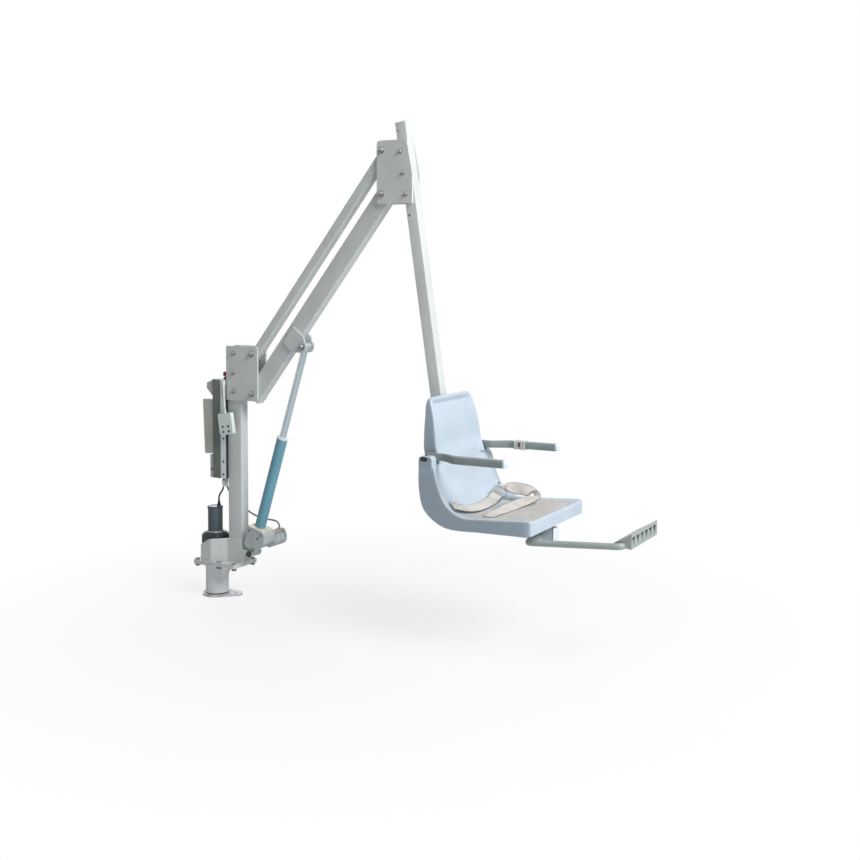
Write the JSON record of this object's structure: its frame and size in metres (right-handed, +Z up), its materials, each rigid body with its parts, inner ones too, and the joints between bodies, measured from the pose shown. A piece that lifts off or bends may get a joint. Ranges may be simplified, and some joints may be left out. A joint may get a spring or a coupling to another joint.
{
  "type": "pool lift chair",
  "caption": "Pool lift: moulded bucket seat with armrests and footrest hung from a slewing, actuator-raised parallelogram boom on a deck socket.",
  "frame": {"origin": "centre of the deck flange's underside, on the slewing axis", "axes": "+Z up, +X along the boom towards the seat, +Y across the seat to the sitter's left"},
  "size_m": [2.1535, 0.54, 2.1133],
  "materials": {
    "frame_paint": "satin powder coat, light grey",
    "steel": "bright zinc and stainless",
    "bronze": "plain bearing bronze",
    "black_plastic": "matte",
    "rubber": "matte",
    "slew_motor": "dark blue grey, satin",
    "box_plastic": "matte dark grey",
    "battery_plastic": "matte light grey",
    "stop_red": "satin red",
    "handset_plastic": "satin off-white",
    "cord_grey": "matte",
    "seat_plastic": "light blue moulding, soft sheen",
    "webbing": "woven webbing, off-white",
    "buckle_plastic": "matte grey",
    "actuator_housing": "satin grey casting",
    "actuator_paint": "satin teal",
    "gasket": "cream rubber",
    "white_plastic": "satin white",
    "rod_metal": "drawn, slightly glossy",
    "armrest_plastic": "matte grey",
    "foot_metal": "white powder coat"
  },
  "bodies": {
    "deck_anchor": {"deck_flange": "frame_paint", "spindle": "steel", "thrust_washer": "black_plastic"},
    "turret": {"turning_sleeve": "frame_paint", "lower_bush": "bronze", "upper_bush": "bronze", "lower_base_plate": "frame_paint", "upper_base_plate": "frame_paint", "mast_tube": "frame_paint", "mast_plate_near": "frame_paint", "mast_plate_far": "frame_paint", "mast_pivot_lower": "steel", "mast_pivot_upper": "steel", "cheek_near": "frame_paint", "cheek_far": "frame_paint", "actuator_base_pin": "steel", "slew_gearbox": "slew_motor", "slew_motor": "slew_motor", "slew_motor_boot": "rubber", "box_channel": "frame_paint", "control_box": "box_plastic", "stop_collar": "black_plastic", "handset_hook": "frame_paint", "handset": "handset_plastic", "handset_cord": "handset_plastic", "slew_motor_cord": "rubber", "lift_motor_cord": "cord_grey"},
    "battery": {"battery": "battery_plastic"},
    "stop_button": {"stop_button": "stop_red"},
    "main_arm": {"main_arm_tube": "frame_paint", "arm_lug_near": "frame_paint", "arm_lug_far": "frame_paint"},
    "upper_link": {"upper_link_tube": "frame_paint"},
    "post_head": {"post_plate_near": "frame_paint", "post_plate_far": "frame_paint", "post_pivot_lower": "steel", "post_pivot_upper": "steel", "post_tube": "frame_paint", "seat_tube": "frame_paint", "seat_mount_plate": "frame_paint", "seat_shell": "seat_plastic", "belt_near": "webbing", "belt_far": "webbing", "belt_tail": "webbing", "belt_buckle": "buckle_plastic"},
    "actuator": {"actuator_gearbox": "actuator_housing", "actuator_motor": "actuator_housing", "actuator_gasket": "gasket", "actuator_tube": "actuator_paint", "actuator_collar": "white_plastic"},
    "rod": {"actuator_rod": "rod_metal"},
    "armrest_near": {"armrest_near": "armrest_plastic"},
    "armrest_far": {"armrest_far": "armrest_plastic"},
    "footrest": {"footrest_tube": "foot_metal", "footrest_tray": "foot_metal"},
    "key_1": {"handset_key_1": "box_plastic"},
    "key_2": {"handset_key_2": "box_plastic"},
    "key_3": {"handset_key_3": "box_plastic"},
    "key_4": {"handset_key_4": "box_plastic"}
  },
  "joints": [
    {"name": "slew", "type": "hinge", "parent": "deck_anchor", "child": "turret", "pos_m": [0, 0, 0.02], "axis": [0, 0, 1], "range_deg": [-120, 120]},
    {"name": "lift", "type": "hinge", "parent": "turret", "child": "main_arm", "pos_m": [0.232, 0, 0.946], "axis": [0, 1, 0], "range_deg": [0, 58]},
    {"name": "upper_link", "type": "hinge", "parent": "turret", "child": "upper_link", "pos_m": [0.232, 0, 1.126], "axis": [0, 1, 0], "range_deg": [0, 58]},
    {"name": "post_level", "type": "hinge", "parent": "main_arm", "child": "post_head", "pos_m": [0.91169, 0, 1.81596], "axis": [0, 1, 0], "range_deg": [-58, 0]},
    {"name": "actuator_tilt", "type": "hinge", "parent": "turret", "child": "actuator", "pos_m": [0.211, 0, 0.218], "axis": [0, 1, 0], "range_deg": [0, 12.61]},
    {"name": "actuator_stroke", "type": "slide", "parent": "actuator", "child": "rod", "axis": [0.2942, 0, 0.9557], "range_m": [-0.28385, 0]},
    {"name": "armrest_near", "type": "hinge", "parent": "post_head", "child": "armrest_near", "pos_m": [1.24, -0.214, 0.766], "axis": [0, -1, 0], "range_deg": [0, 95]},
    {"name": "armrest_far", "type": "hinge", "parent": "post_head", "child": "armrest_far", "pos_m": [1.24, 0.214, 0.766], "axis": [0, -1, 0], "range_deg": [0, 95]},
    {"name": "footrest_fold", "type": "hinge", "parent": "post_head", "child": "footrest", "pos_m": [1.64, -0.09, 0.455], "axis": [0, 1, 0], "range_deg": [0, 90]},
    {"name": "stop_press", "type": "slide", "parent": "turret", "child": "stop_button", "axis": [0, 0, -1], "range_m": [0, 0.0045], "stiffness_N_per_m": 300, "springref_m": -0.003},
    {"name": "battery_release", "type": "slide", "parent": "turret", "child": "battery", "axis": [-1, 0, 0], "range_m": [0, 0.06]},
    {"name": "key_1", "type": "slide", "parent": "turret", "child": "key_1", "axis": [0, 1, 0], "range_m": [0, 0.0012], "stiffness_N_per_m": 300, "springref_m": -0.001},
    {"name": "key_2", "type": "slide", "parent": "turret", "child": "key_2", "axis": [0, 1, 0], "range_m": [0, 0.0012], "stiffness_N_per_m": 300, "springref_m": -0.001},
    {"name": "key_3", "type": "slide", "parent": "turret", "child": "key_3", "axis": [0, 1, 0], "range_m": [0, 0.0012], "stiffness_N_per_m": 300, "springref_m": -0.001},
    {"name": "key_4", "type": "slide", "parent": "turret", "child": "key_4", "axis": [0, 1, 0], "range_m": [0, 0.0012], "stiffness_N_per_m": 300, "springref_m": -0.001}
  ],
  "couplings": [
    {"joint": "upper_link", "follows": "lift", "ratio": 1},
    {"joint": "post_level", "follows": "lift", "ratio": -1},
    {"joint": "actuator_tilt", "follows": "lift", "ratio": 0.2174},
    {"joint": "actuator_stroke", "follows": "lift", "m_per_rad": -0.2804}
  ]
}
